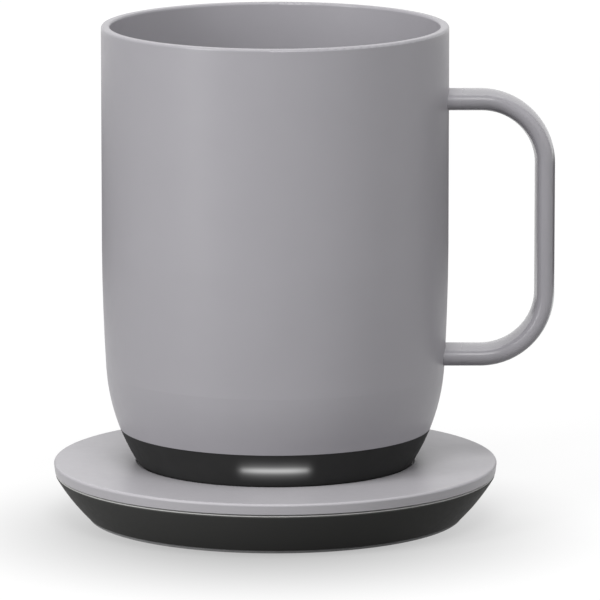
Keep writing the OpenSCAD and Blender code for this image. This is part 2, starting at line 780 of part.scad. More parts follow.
// Bottom cover with the contact pocket, the foot ring's groove and the button's hole
module bottom_cover() {
    color(dark) difference() {
        ring(cover_r, 0, base_low_z, cover_z);
        post(pocket_r, base_low_z - over, contact_z);
        contact_cut(inner_contact_d);
        contact_cut(outer_contact_d);
        ring(foot_out_r + run_gap, foot_in_r - run_gap, base_low_z - over, foot_groove_z);
        around(cover_screw_angles, foot_mid_r) {
            post(small_head_d / 2 + pin_gap, foot_groove_z - over, foot_groove_z + small_head_h);
            post(small_screw_d / 2 + pin_gap, foot_groove_z, cover_z + over);
        }
        around([button_angle], button_r) post(button_d / 2 + run_gap, base_low_z - over, cover_z + over);
    }
}

// Screws of the bottom cover, hidden by the foot ring
module cover_screws() {
    seat = foot_groove_z + small_head_h;
    color(steel) around(cover_screw_angles, foot_mid_r)
        screw_up(small_screw_d, small_head_d, foot_groove_z, seat, cover_thread_z - 2 * fit_gap);
}

// Soft ring that the mug stands on
module mug_foot_ring() {
    color(soft_grey) ring(foot_out_r, foot_in_r, seat_z, foot_groove_z);
}

// Contact ring with two posts up to the control board
module contact_ring(d) {
    ring((d + contact_w) / 2, (d - contact_w) / 2, contact_z, contact_z + contact_t);
    around([90, 270], d / 2) post(post_d / 2, contact_z, board_z);
}

// Outer contact of the charging circuit
module outer_contact_ring() {
    color(gold) contact_ring(outer_contact_d);
}

// Inner contact of the charging circuit
module inner_contact_ring() {
    color(gold) contact_ring(inner_contact_d);
}

// Power button: cap with a finger hollow, collar above the cover and stem below the switch
module power_button() {
    hollow_depth = button_hollow_r - sqrt(button_hollow_r ^ 2 - (button_d / 2 - button_collar) ^ 2);
    color(dark) around([button_angle], button_r) difference() {
        union() {
            post(button_d / 2, button_face_z, button_collar_top_z);
            post(button_collar_r, button_collar_z, button_collar_top_z);
            post(button_stem_d / 2, button_collar_top_z, button_stem_z);
        }
        translate([0, 0, button_face_z + hollow_depth - button_hollow_r]) sphere(r = button_hollow_r);
    }
}

// Return spring of the button, round the switch
module button_spring() {
    color(steel) around([button_angle], button_r)
        spring(button_spring_r, button_collar_top_z, board_z, button_spring_turns);
}

// Switch on the underside of the control board
module tact_switch() {
    color(steel) around([button_angle], button_r) {
        block([switch_w, switch_w, switch_h], 0, 0, board_z - switch_h);
        post(plunger_d / 2, plunger_z, board_z - switch_h);
    }
}

// Round control board with holes for its screws
module control_board() {
    color(board_green) difference() {
        ring(board_r, 0, board_z, board_top_z);
        around(rib_angles, board_screw_r)
            post(small_screw_d / 2 + pin_gap, board_z - over, board_top_z + over);
    }
}

// Screws that hold the control board to the ribs
module board_screws() {
    tip = board_top_z + board_thread - fit_gap;
    color(steel) around(rib_angles, board_screw_r)
        screw_up(small_screw_d, small_head_d, board_z - small_head_h, board_z, tip);
}

// Metal can over the processor, under the board
module processor_can() {
    color(steel) translate([can_place.x, -can_place.y, 0])
        block([processor_w, processor_l, processor_h], 0, 0, board_z - processor_h);
}

// Coil of the power supply, with the groove round its core
module power_coil() {
    coil_z = board_z - coil_h;
    color(dark) translate([-coil_place.x, -coil_place.y, 0]) difference() {
        block([coil_w, coil_w, coil_h], 0, 0, coil_z);
        ring((coil_groove_d + coil_groove_w) / 2, (coil_groove_d - coil_groove_w) / 2,
            coil_z - over, coil_z + coil_groove);
    }
}

// Socket on the control board that takes the heater's tail
module heater_plug() {
    slot_gap = pin_gap / 2;
    color(dark) rotate(tail_angle) difference() {
        translate([plug_r - plug_l / 2, -plug_w / 2, board_top_z]) cube([plug_l, plug_w, plug_h]);
        translate([tail_end_r - slot_gap, -tail_w / 2 - slot_gap, plug_mid_z - film_t / 2 - slot_gap])
            cube([plug_l, tail_w + 2 * slot_gap, film_t + 2 * slot_gap]);
    }
}

// Lamps behind the light bar, on the underside of the board
module status_lamps() {
    color("white") for (i = [0 : lamp_count - 1]) {
        x = (i - (lamp_count - 1) / 2) * lamp_pitch;
        block([lamp_w, lamp_l, lamp_h], x, lamp_step(x) + lamp_l / 2 - lamp_face_r, board_z - lamp_h);
    }
}

// Clear guide that carries the light through the front of the base, flush with its curve
module light_guide() {
    color(clear) intersection() {
        light_bar(0, guide_in_r);
        rotate_extrude() arc_slice(knee_c, knee_r, base_low_z, base_top_z);
    }
}

// Notch for the heater's tail, between two heights
module tail_notch(z0, z1) {
    rotate(tail_angle) translate([tail_in_r, -tail_w / 2 - fit_gap, z0])
        cube([reach, tail_w + 2 * fit_gap, z1 - z0]);
}

// Tray on the ribs, with a frame round the two cells and a wall between them
module battery_tray() {
    tab_hole = [tab_w + 2 * fit_gap, tab_t + 2 * fit_gap, tray_t + 2 * over];
    color(soft_grey) difference() {
        union() {
            ring(spigot_in_r - fit_gap, 0, tray_z, tray_floor_z);
            translate([0, 0, tray_z]) linear_extrude(tray_t + tray_wall_h) difference() {
                soft_rect(2 * [frame_x, frame_y], cell_edge_r);
                soft_rect(2 * [frame_x - tray_t, frame_y - tray_t], cell_edge_r);
            }
            block([tray_t, cell_l, tray_t + tray_wall_h], 0, 0, tray_z);
        }
        around(rib_angles, tray_screw_r)
            post(small_screw_d / 2 + pin_gap, tray_z - over, tray_floor_z + over);
        tab_places() block(tab_hole, 0, 0, tray_z - over);
        tail_notch(tray_z - over, tray_floor_z + over);
    }
}

// Screws that hold the tray down on the ribs
module tray_screws() {
    color(steel) around(rib_angles, tray_screw_r) {
        post(small_head_d / 2, tray_floor_z, tray_floor_z + small_head_h);
        post(small_screw_d / 2, tray_z - board_thread, tray_floor_z);
    }
}

// Two flat cells side by side
module battery_cells() {
    color(cell_blue) for (side = [-1, 1]) {
        translate([side * cells_x, 0, tray_floor_z])
            linear_extrude(cell_t) soft_rect([cell_w, cell_l], cell_edge_r);
    }
}

// Copies of the children where the cells' tabs run down their front faces
module tab_places() {
    for (side = [-1, 1], x = [tab_x, tab_x + tab_pitch]) {
        translate([side * x, -(cell_l + tab_t) / 2, 0]) children();
    }
}

// Tabs from the cells down to the control board
module battery_tabs() {
    tab_l = tray_floor_z + tab_rise - board_top_z;
    color(steel) tab_places() block([tab_w, tab_t, tab_l], 0, 0, board_top_z);
}

// Insulation below the heater, with a notch for the heater's tail
module insulation_disc() {
    color(felt) difference() {
        ring(insulation_r, 0, insulation_z, film_z);
        tail_notch(insulation_z - over, film_z + over);
    }
}

// Places of the temperature sensors
module sensor_places() {
    around([0, 180], sensor_r) children();
}

// Heater film, with a tail that bends down past the tray and into its plug
module heater_film() {
    tail_z = plug_mid_z - film_t / 2;
    color(amber) difference() {
        union() {
            ring(film_r, 0, film_z, film_z + film_t);
            rotate(tail_angle) translate([0, tail_w / 2, 0]) rotate([90, 0, 0]) linear_extrude(tail_w) {
                translate([film_r - tail_w, film_z]) square([tail_r - film_r + tail_w, film_t]);
                translate([tail_r - film_t, tail_z]) square([film_t, film_z - tail_z + film_t]);
                translate([tail_end_r, tail_z]) square([tail_r - tail_end_r, film_t]);
            }
        }
        sensor_places() post(sensor_d / 2 + fit_gap, film_z - over, film_z + film_t + over);
    }
}

// Metal disc that spreads the heat over the cup's floor
module heat_spreader() {
    color(steel) difference() {
        ring(cup_flat_r, 0, film_z + film_t, cup_under_z);
        sensor_places() post(sensor_d / 2 + fit_gap, film_z, cup_under_z + over);
    }
}

// Sensors that touch the cup's floor through the spreader
module temperature_sensors() {
    color(amber) sensor_places() post(sensor_d / 2, film_z, cup_under_z);
}

// Half-section of the coaster's plate: rounded above, drawn in below, with the mug's seat in it
module plate_section() {
    edge_c = [plate_r - plate_fillet, coaster_h - plate_fillet];
    recess_top_r = recess_r + recess_depth / 2;
    hub_hole_r = hub_r + fit_gap;
    polygon([
        [hub_hole_r, plate_z],
        [plate_r - plate_taper, plate_z],
        [plate_r, edge_c.y],
        [recess_top_r, edge_c.y],
        [recess_r, seat_z],
        [hub_hole_r, seat_z]
    ]);
    translate([recess_top_r, edge_c.y]) square([edge_c.x - recess_top_r, plate_fillet]);
    translate(edge_c) quarter(plate_fillet);
    translate([lip_out_r - tongue_w, plate_z - plate_lip_h]) square([tongue_w, plate_lip_h]);
}

// Coaster plate with three screw bosses under it, cut away wherever it would meet the gland
module coaster_plate() {
    color(coat_grey) difference() {
        union() {
            rotate_extrude() plate_section();
            around(boss_angles, shell_screw_r)
                post(boss_d / 2, shell_floor_z, plate_z + (seat_z - plate_z) / 2);
        }
        around(boss_angles, shell_screw_r)
            post(shell_screw_d / 2 + pin_gap, shell_floor_z - over, boss_hole_z);
        gland_round(gland_d / 2 + fit_gap, gland_in_y, plate_r);
        gland_round(gland_flange_d / 2 + fit_gap, gland_in_y - fit_gap, gland_wall_y);
    }
}

// Half-section of the coaster's shell: floor, bulging side, rounded rim and tongue
module shell_section() {
    rim_c = [shell_rim_r, shell_top_z] - shell_rim_fillet * [1, 1];
    difference() {
        intersection() {
            union() {
                arc_slice(bowl_c, bowl_r, pad_t, shell_top_z);
                translate([0, pad_t]) square([bowl_c.x, shell_top_z - pad_t]);
            }
            union() {
                translate([0, pad_t]) square([shell_rim_r, rim_c.y - pad_t]);
                translate([0, rim_c.y]) square([rim_c.x, shell_rim_fillet]);
                translate(rim_c) quarter(shell_rim_fillet);
            }
        }
        arc_slice(bowl_c, bowl_r - shell_wall, shell_floor_z, tongue_low_z);
        translate([0, shell_floor_z]) square([bowl_c.x, tongue_low_z - shell_floor_z]);
        translate([0, tongue_low_z]) square([tongue_in_r, shell_top_z - tongue_low_z + over]);
    }
    translate([tongue_in_r, tongue_low_z]) square([tongue_w, plate_z - tongue_low_z]);
}

// Sleeve or hole along the gland's axis, between two distances behind the middle
module gland_round(r, y0, y1) {
    translate([0, y0, gland_z]) rotate([-90, 0, 0]) cylinder(r = r, h = y1 - y0);
}

// Dark shell of the coaster, with posts for the pin board
module coaster_shell() {
    color(dark) difference() {
        union() {
            rotate_extrude() shell_section();
            for (x = [-1, 1], y = [-1, 1]) translate([x * pin_post_x, y * pin_post_y, 0]) {
                post(pin_post_d / 2, shell_floor_z - shell_wall / 2, pin_board_z);
                post(pin_peg_d / 2, pin_board_z - shell_wall / 2, pin_board_top_z);
            }
        }
        around(boss_angles, shell_screw_r) {
            post(shell_head_d / 2 + fit_gap, pad_t - over, shell_screw_z);
            post(shell_screw_d / 2 + fit_gap, pad_t, shell_floor_z + over);
        }
        gland_round(gland_d / 2 + pin_gap, gland_in_y, plate_r + over);
    }
}

// Soft pad that the coaster stands on
module coaster_foot_pad() {
    color(soft_grey) ring(shell_low_r - pad_inset, 0, 0, pad_t);
}

// Screws from the shell up into the plate's bosses
module coaster_screws() {
    head_z = shell_screw_z - shell_head_h;
    color(steel) around(boss_angles, shell_screw_r)
        screw_up(shell_screw_d, shell_head_d, head_z, shell_screw_z, boss_hole_z - fit_gap);
}

// Hub that carries the pins up through the plate
module contact_hub() {
    color(dark) difference() {
        rotate_extrude() {
            translate([0, pin_board_top_z]) square([hub_r, seat_z - pin_board_top_z]);
            translate([0, plate_z - hub_flange_t]) square([hub_r + hub_flange, hub_flange_t]);
        }
        for (x = [inner_pin_x, outer_pin_x]) translate([x, 0, 0])
            post(barrel_r + pin_gap, pin_board_top_z - over, seat_z + over);
    }
}

// Circuit board under the hub, held on the shell's pegs
module pin_board() {
    color(board_green) translate([0, 0, pin_board_z]) linear_extrude(board_t) difference() {
        soft_rect([pin_board_l, pin_board_w], pin_post_inset);
        for (x = [-1, 1], y = [-1, 1]) translate([x * pin_post_x, y * pin_post_y])
            circle(d = pin_peg_d + 2 * pin_gap);
    }
}

// Barrels of the two pins, each with a narrow neck that keeps the collar in
module pin_barrels() {
    neck_r = pin_d / 2 + pin_gap;
    collar_bore_r = pin_collar_d / 2 + pin_gap;
    color(gold) for (x = [inner_pin_x, outer_pin_x]) translate([x, 0, 0]) {
        ring(barrel_r, collar_bore_r, pin_board_top_z, barrel_step_z);
        ring(barrel_r, neck_r, barrel_step_z, barrel_top_z);
    }
}

// Charging pin: round tip and the collar that the spring pushes
module charging_pin(x) {
    color(gold) translate([x, 0, 0]) {
        post(pin_collar_d / 2, pin_collar_z, pin_collar_top_z);
        post(pin_d / 2, pin_collar_top_z, pin_top_z - pin_d / 2);
        translate([0, 0, pin_top_z - pin_d / 2]) rotate_extrude() quarter(pin_d / 2);
    }
}

// Charging pin under the inner contact ring
module inner_pin() {
    charging_pin(inner_pin_x);
}

// Charging pin under the outer contact ring
module outer_pin() {
    charging_pin(outer_pin_x);
}

// Spring between the pin board and a pin's collar
module pin_spring(x) {
    color(steel) translate([x, 0, 0])
        spring(pin_spring_r, pin_board_top_z, pin_collar_z, pin_spring_turns);
}

// Spring of the inner pin
module inner_pin_spring() {
    pin_spring(inner_pin_x);
}

// Spring of the outer pin
module outer_pin_spring() {
    pin_spring(outer_pin_x);
}

// Soft gland for the cord in the back of the shell
module cord_gland() {
    color(soft_grey) difference() {
        union() {
            gland_round(gland_d / 2, gland_in_y, gland_out_y);
            gland_round(gland_flange_d / 2, gland_in_y, gland_in_y + gland_flange_t);
        }
        gland_round(gland_bore_d / 2, gland_in_y - over, gland_out_y + over);
    }
}

mug_shell();
inner_cup();
handle();
base_housing();
base_seal();
bottom_cover();
cover_screws();
mug_foot_ring();
outer_contact_ring();
inner_contact_ring();
power_button();
button_spring();
tact_switch();
control_board();
board_screws();
processor_can();
power_coil();
heater_plug();
status_lamps();
light_guide();
battery_tray();
tray_screws();
battery_cells();
battery_tabs();
insulation_disc();
heater_film();
heat_spreader();
temperature_sensors();
coaster_plate();
coaster_shell();
coaster_foot_pad();
coaster_screws();
contact_hub();
pin_board();
pin_barrels();
inner_pin();
outer_pin();
inner_pin_spring();
outer_pin_spring();
cord_gland();
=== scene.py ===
"""Looks of a self-heating mug on its charging coaster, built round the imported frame. Lengths in metres."""
import functools
import json
import math

import bmesh
import bpy
from mathutils import Matrix, Vector


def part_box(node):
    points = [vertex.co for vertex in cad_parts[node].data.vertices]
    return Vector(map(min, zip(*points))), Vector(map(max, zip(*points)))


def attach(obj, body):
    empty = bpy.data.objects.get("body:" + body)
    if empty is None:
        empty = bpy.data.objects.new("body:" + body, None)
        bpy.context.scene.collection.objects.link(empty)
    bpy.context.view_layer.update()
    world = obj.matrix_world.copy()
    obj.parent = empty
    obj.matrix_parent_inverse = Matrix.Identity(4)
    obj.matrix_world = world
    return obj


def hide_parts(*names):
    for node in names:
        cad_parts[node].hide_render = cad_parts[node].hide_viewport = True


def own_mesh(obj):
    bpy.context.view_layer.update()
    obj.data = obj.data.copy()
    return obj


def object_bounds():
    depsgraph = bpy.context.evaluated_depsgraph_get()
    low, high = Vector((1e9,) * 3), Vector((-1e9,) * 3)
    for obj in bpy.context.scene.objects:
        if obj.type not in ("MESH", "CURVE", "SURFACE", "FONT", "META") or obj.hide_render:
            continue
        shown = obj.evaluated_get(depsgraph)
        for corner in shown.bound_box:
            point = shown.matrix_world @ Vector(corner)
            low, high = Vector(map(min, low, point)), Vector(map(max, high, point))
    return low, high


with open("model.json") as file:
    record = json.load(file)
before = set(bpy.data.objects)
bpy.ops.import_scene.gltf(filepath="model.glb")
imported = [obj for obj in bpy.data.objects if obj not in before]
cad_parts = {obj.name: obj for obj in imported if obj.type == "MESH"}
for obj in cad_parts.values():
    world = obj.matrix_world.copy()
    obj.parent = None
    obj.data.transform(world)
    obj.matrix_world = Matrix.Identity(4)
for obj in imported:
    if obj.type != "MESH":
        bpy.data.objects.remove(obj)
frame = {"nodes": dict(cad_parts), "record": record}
cad_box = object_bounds()

MM = 0.001
TINY = 1e-6
UP = Vector((0, 0, 1))

# Fineness of round meshes
ROUND_STEPS = 192
CORNER_STEPS = 6
BEVEL_STEPS = 3
WIRE_STEPS = 40
WIRE_SIDES = 16

# Edges of the soft pieces: their radii, and the angles that count as flat and as an edge
PAD_EDGE = 0.3 * MM
RING_EDGE = 0.35 * MM
GLAND_EDGE = 0.25 * MM
FELT_EDGE = 0.6 * MM
FLAT_ANGLE = math.radians(0.5)
EDGE_ANGLE = math.radians(40)

# Springs
SPRING_WIRE = 0.4 * MM
SPRING_SHUT_TURNS = 0.75
PIN_SPRING_TURNS = 4
BUTTON_SPRING_TURNS = 2

# Camera, fitted to the outlines of the rim, the wall and the coaster in the photograph
CAMERA_PLACE = Vector((6.15, -1742.2, 367.8)) * MM
CAMERA_PITCH = math.radians(79.8)
CAMERA_LENS = 427.4
CAMERA_SENSOR = 36.0
CAMERA_REACH = 100.0

# Tones from 0 to 255, of what the photograph shows
COAT_TONE = (162, 160, 165)
PLATE_TONE = (177, 175, 179)
DARK_TONE = (53, 53, 53)
# The bowl's tone is painted bounce light from the floor, and its rim's tone is a painted highlight
BOWL_BOUNCE_TONE = (74, 74, 73)
BOWL_RIM_HIGHLIGHT_TONE = (204, 204, 202)
RUBBER_TONE = (138, 138, 139)
WHITE = (255, 255, 255)

# Tones of what is hidden
GOLD_TONE = (232, 190, 110)
STEEL_TONE = (196, 197, 200)
BOARD_TONE = (24, 74, 52)
TRACK_TONE = (40, 104, 70)
COMPONENT_TONE = (52, 52, 55)
LAMP_TONE = (238, 236, 226)
PHOSPHOR_TONE = (236, 222, 150)
TRAY_TONE = (178, 178, 174)
WRAP_TONE = (92, 120, 160)
FELT_TONE = (214, 208, 196)
AMBER_TONE = (196, 128, 52)
HEATER_TONE = (150, 84, 34)
SPREADER_TONE = (206, 207, 210)

# Rubbed places of the mug's coat: start and end from the wall's outside or its top, and their roughness
HANDLE_RUB = (-1.0 * MM, 6.0 * MM, 0.22)
RIM_RUB = (-0.2 * MM, 0.6 * MM, 0.3)

# Bowl of the coaster: how far above its top its painted bounce light reaches, and where the painted highlight
# along its rim starts and is full
BOWL_MARGIN = 0.1 * MM
BOWL_RIM_HIGHLIGHT = (-0.68 * MM, -0.48 * MM)

# Light bar: a core and a halo, each with its light, half its even length, and its fade along and across; on
# the housing round the bar they are painted light
GLOW_LAYERS = (
    (0.32, 7.3 * MM, 1.3 * MM, 0.73 * MM),
    (0.14, 7.8 * MM, 1.7 * MM, 1.8 * MM),
)
GLOW_TAPER = 9.0 * MM
GLOW_TAPER_POWER = 4.0

# Middle range of a cloudy pattern, and the sockets of a colour mix
PATTERN_LOW, PATTERN_HIGH = 0.3, 0.7
MIX_SHARE, MIX_FIRST, MIX_SECOND, MIX_RESULT = 0, 6, 7, 2

# Fill light and floor
FILL_LIGHT = 0.3
FLOOR_TONE = (108, 108, 108)
FLOOR_REACH = 6.0
FLOOR_GAP = 0.05 * MM
# Middle of the shadow that is painted on the floor
FLOOR_PAINTED_SHADOW_AT = (-0.002, -0.022, 0.0)

# Light of the floor as it is seen, in ramps that add up: distances from and to, and light from and to. The
# first paints a soft shadow round the object
FLOOR_RAMPS = (
    (0.012, 0.095, 0.38, 0.86),
    (0.0, 2.0, 0.0, 0.14),
)

# Dark cards beside the backdrop, with their turn in degrees from straight behind the object
CARD_TONE = (30, 30, 30)
CARD_WIDTH = 0.4
CARD_HEIGHT = 0.055
CARD_DISTANCE = 0.32
CARD_TURN = 46

nodes = frame["nodes"]
slot_of = {part["node"]: part["material_slot"] for part in frame["record"]["subparts"]}
body_of = {node: body for body, members in frame["record"]["behaviour"]["bodies"].items() for node in members}


def linear(tone, share=1.0):
    """A screen tone from 0 to 255 as the colour that a shader takes, lightened or darkened by a share."""
    parts = [value / 255 for value in tone]
    return [*(share * (p / 12.92 if p < 0.04045 else ((p + 0.055) / 1.055) ** 2.4) for p in parts), 1.0]


def circle(steps):
    """Angles of a full turn in even steps."""
    return [2 * math.pi * k / steps for k in range(steps)]


def added(name, data):
    """New object in the scene."""
    thing = bpy.data.objects.new(name, data)
    bpy.context.scene.collection.objects.link(thing)
    return thing


def new_node(tree, kind, inputs, output=0, **settings):
    """Output of a new shader node, with values or other outputs put into its inputs."""
    made = tree.nodes.new(kind)
    for setting, value in settings.items():
        setattr(made, setting, value)
    for key, value in inputs.items():
        if isinstance(value, bpy.types.NodeSocket):
            tree.links.new(value, made.inputs[key])
        else:
            made.inputs[key].default_value = value
    return made.outputs[output]


# Meshes

def smooth_mesh(name, points, faces):
    """Mesh with smooth shading."""
    mesh = bpy.data.meshes.new(name)
    mesh.from_pydata([tuple(p) for p in points], [], faces)
    mesh.shade_smooth()
    return mesh


def revolved(name, outline):
    """Mesh of (radius, height) points turned about the upright axis. The outline closes on itself."""
    points, rings = [], []
    for radius, height in outline:
        start = len(points)
        if radius < TINY:
            points.append(Vector((0, 0, height)))
            rings.append([start] * ROUND_STEPS)
            continue
        points += [Vector((radius * math.cos(a), radius * math.sin(a), height)) for a in circle(ROUND_STEPS)]
        rings.append(list(range(start, start + ROUND_STEPS)))
    faces = []
    for low, high in zip(rings, rings[1:] + rings[:1]):
        for k in range(ROUND_STEPS):
            after = (k + 1) % ROUND_STEPS
            corners = list(dict.fromkeys((low[k], low[after], high[after], high[k])))
            if len(corners) > 2:
                faces.append(corners)
    return smooth_mesh(name, points, faces)


def tube(name, points, sides):
    """Closed mesh over rings of points, one ring after the other."""
    faces = []
    last = len(points) - sides
    for start in range(0, last, sides):
        for side in range(sides):
            here, beside = start + side, start + (side + 1) % sides
            faces.append((here, here + sides, beside + sides, beside))
    faces.append(tuple(range(sides)))
    faces.append(tuple(last + side for side in reversed(range(sides))))
    return smooth_mesh(name, points, faces)


def softened(corners, radius):
    """The outline with each corner that is off the axis turned into an arc of that radius."""
    soft = []
    for before, corner, after in zip(corners[-1:] + corners[:-1], corners, corners[1:] + corners[:1]):
        if corner[0] < TINY:
            soft.append(corner)
            continue
        here = Vector(corner)
        back = (Vector(before) - here).normalized()
        onward = (Vector(after) - here).normalized()
        half = back.angle(onward) / 2
        centre = here + (back + onward).normalized() * radius / math.sin(half)
        start = here + back * radius / math.tan(half) - centre
        end = here + onward * radius / math.tan(half) - centre
        sweep = math.atan2(start.x * end.y - start.y * end.x, start.dot(end))
        first = math.atan2(start.y, start.x)
        for k in range(CORNER_STEPS + 1):
            turn = first + sweep * k / CORNER_STEPS
            soft.append((centre.x + radius * math.cos(turn), centre.y + radius * math.sin(turn)))
    return soft


def rounded_copy(name, node, radius):
    """Mesh of a CAD node with its sharp edges rounded."""
    shape = bmesh.new()
    shape.from_mesh(nodes[node].data)
    bmesh.ops.remove_doubles(shape, verts=shape.verts, dist=TINY)
    bmesh.ops.dissolve_limit(shape, angle_limit=FLAT_ANGLE, verts=shape.verts, edges=shape.edges)
    edges = [e for e in shape.edges if len(e.link_faces) == 2 and e.calc_face_angle() > EDGE_ANGLE]
    bmesh.ops.bevel(shape, geom=edges, offset=radius, offset_type="OFFSET", segments=BEVEL_STEPS,
                    profile=0.5, affect="EDGES", clamp_overlap=True)
    mesh = bpy.data.meshes.new(name)
    shape.to_mesh(mesh)
    shape.free()
    mesh.shade_smooth()
    return mesh


# Materials

class Finish:
    """Procedural material whose patterns lie in the object's own space."""

    def __init__(self, name, tone, roughness, metallic=0.0, gloss=0.5):
        self.material = bpy.data.materials.new(name)
        self.material.use_nodes = True
        self.tree = self.material.node_tree
        self.shader = self.tree.nodes["Principled BSDF"]
        self.place = self.tree.nodes.new("ShaderNodeTexCoord").outputs["Object"]
        self.tone = tone
        self.shader.inputs["Base Color"].default_value = linear(tone)
        self.shader.inputs["Roughness"].default_value = roughness
        self.shader.inputs["Metallic"].default_value = metallic
        self.shader.inputs["Specular IOR Level"].default_value = gloss

    def node(self, kind, inputs, output=0, **settings):
        """Output of a new node of this material."""
        return new_node(self.tree, kind, inputs, output, **settings)

    def into(self, socket, output):
        """Links an output to a socket of the shader."""
        self.tree.links.new(output, self.shader.inputs[socket])

    def out_of(self, socket):
        """The output that is linked to a socket of the shader."""
        return self.shader.inputs[socket].links[0].from_socket

    def math(self, operation, first, second=0.0):
        """Output of a calculation."""
        return self.node("ShaderNodeMath", {0: first, 1: second}, operation=operation)

    def falling(self, value):
        """Share that falls from 1 as a value grows from 0."""
        return self.math("EXPONENT", self.math("MULTIPLY", value, -1.0))

    def axis(self, letter):
        """One coordinate in the object's own space."""
        return self.node("ShaderNodeSeparateXYZ", {0: self.place}, output=letter)

    def stretched(self, stretch):
        """The object's own space, stretched along its axes."""
        return self.node("ShaderNodeVectorMath", {0: self.place, 1: stretch}, operation="MULTIPLY")

    def noise(self, size, detail=2.0, stretch=None):
        """Cloudy pattern whose clouds are about that size."""
        place = self.place if stretch is None else self.stretched(stretch)
        return self.node("ShaderNodeTexNoise", {"Vector": place, "Scale": 1 / size, "Detail": detail})

    def cells(self, size):
        """Pattern of cells of about that size."""
        return self.node("ShaderNodeTexVoronoi", {"Vector": self.place, "Scale": 1 / size})

    def spread(self, pattern, low=0.0, high=1.0):
        """A pattern's middle range, mapped to a range of values."""
        inputs = {"Value": pattern, "From Min": PATTERN_LOW, "From Max": PATTERN_HIGH,
                  "To Min": low, "To Max": high}
        return self.node("ShaderNodeMapRange", inputs)

    def ramp(self, value, start, end):
        """Value that runs softly from 0 at one end of a stretch to 1 at the other."""
        inputs = {"Value": value, "From Min": start, "From Max": end}
        return self.node("ShaderNodeMapRange", inputs, interpolation_type="SMOOTHSTEP")

    def colour(self, pattern, first, second):
        """Base colour between two colours, by a pattern."""
        inputs = {MIX_SHARE: pattern, MIX_FIRST: first, MIX_SECOND: second}
        self.into("Base Color", self.node("ShaderNodeMix", inputs, output=MIX_RESULT, data_type="RGBA"))

    def recolour(self, share, tone):
        """Base colour that goes over to another tone by a share."""
        self.colour(share, self.out_of("Base Color"), linear(tone))

    def shade(self, pattern, share):
        """Base colour that varies about the tone by a share."""
        self.colour(self.spread(pattern), linear(self.tone, 1 - share), linear(self.tone, 1 + share))

    def rough(self, pattern, low, high):
        """Roughness between two values, by a pattern."""
        self.into("Roughness", self.spread(pattern, low, high))

    def rub(self, share, roughness):
        """Roughness that goes over to another by a share."""
        inputs = {"Value": share, "To Min": self.out_of("Roughness"), "To Max": roughness}
        self.into("Roughness", self.node("ShaderNodeMapRange", inputs))

    def relief(self, pattern, depth):
        """Fine relief of that depth from a pattern."""
        inputs = {"Height": pattern, "Distance": depth, "Strength": 1.0}
        self.into("Normal", self.node("ShaderNodeBump", inputs))

    def glow(self):
        """Light of the lit bar, which fades round a line in the front of the base. On the dark plastic round
        the bar it is painted light spilling from the bar.
        """
        low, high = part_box("light_guide")
        sideways = self.math("ABSOLUTE", self.axis("X"))
        above = self.math("SUBTRACT", self.axis("Z"), (low.z + high.z) / 2)
        light = 0.0
        for peak, half, along, across in GLOW_LAYERS:
            past_end = self.math("MAXIMUM", self.math("SUBTRACT", sideways, half), 0.0)
            away = self.math("ADD", self.math("POWER", self.math("DIVIDE", past_end, along), 2.0),
                             self.math("POWER", self.math("DIVIDE", above, across), 2.0))
            light = self.math("ADD", self.math("MULTIPLY", self.falling(away), peak), light)
        thinner = self.math("POWER", self.math("DIVIDE", sideways, GLOW_TAPER), GLOW_TAPER_POWER)
        light = self.math("MULTIPLY", light, self.falling(thinner))
        in_front = self.math("LESS_THAN", self.axis("Y"), high.y)
        self.into("Emission Strength", self.math("MULTIPLY", light, in_front))
        self.shader.inputs["Emission Color"].default_value = linear(WHITE)


def satin_coat(name, tone):
    """Matte ceramic coat with a very fine grain."""
    finish = Finish(name, tone, roughness=0.4, gloss=0.35)
    finish.shade(finish.noise(size=14 * MM, detail=3.0), share=0.012)
    finish.rough(finish.noise(size=2.5 * MM), low=0.37, high=0.43)
    finish.relief(finish.noise(size=0.35 * MM, detail=1.0), depth=0.004 * MM)
    return finish


def coated_steel():
    """Coat of the mug, rubbed smooth at the handle and the rim."""
    finish = satin_coat("coated_steel", COAT_TONE)
    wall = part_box("mug_shell")[1]
    level = finish.stretched((1, 1, 0))
    from_axis = finish.node("ShaderNodeVectorMath", {0: level}, output="Value", operation="LENGTH")
    for value, edge, rub in ((from_axis, wall.x, HANDLE_RUB), (finish.axis("Z"), wall.z, RIM_RUB)):
        start, end, roughness = rub
        finish.rub(finish.ramp(value, edge + start, edge + end), roughness)
    return finish


def coated_plate():
    """Coat of the coaster's plate."""
    return satin_coat("coated_plate", PLATE_TONE)


def dark_plastic():
    """Black moulded plastic with a fine grain, painted bounce light on the bowl, a painted highlight on its
    rim, and the bar's glow.
    """
    finish = Finish("dark_plastic", DARK_TONE, roughness=0.5, gloss=0.02)
    finish.shade(finish.noise(size=6 * MM, detail=3.0), share=0.05)
    height = finish.axis("Z")
    bowl_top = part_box("coaster_shell")[1].z
    # Painted bounce light: the bowl, which faces the floor, takes a paler copy of the dark plastic's tone
    below = finish.math("LESS_THAN", height, bowl_top + BOWL_MARGIN)
    finish.recolour(below, BOWL_BOUNCE_TONE)
    # Painted highlight: a pale band along the bowl's rim edge
    start, full = BOWL_RIM_HIGHLIGHT
    rim_highlight = finish.ramp(height, bowl_top + start, bowl_top + full)
    finish.recolour(finish.math("MULTIPLY", rim_highlight, below), BOWL_RIM_HIGHLIGHT_TONE)
    finish.rough(finish.noise(size=1.5 * MM), low=0.46, high=0.56)
    finish.relief(finish.noise(size=0.25 * MM), depth=0.006 * MM)
    # Painted light: the bar's glow also lies on the housing round the bar
    finish.glow()
    return finish


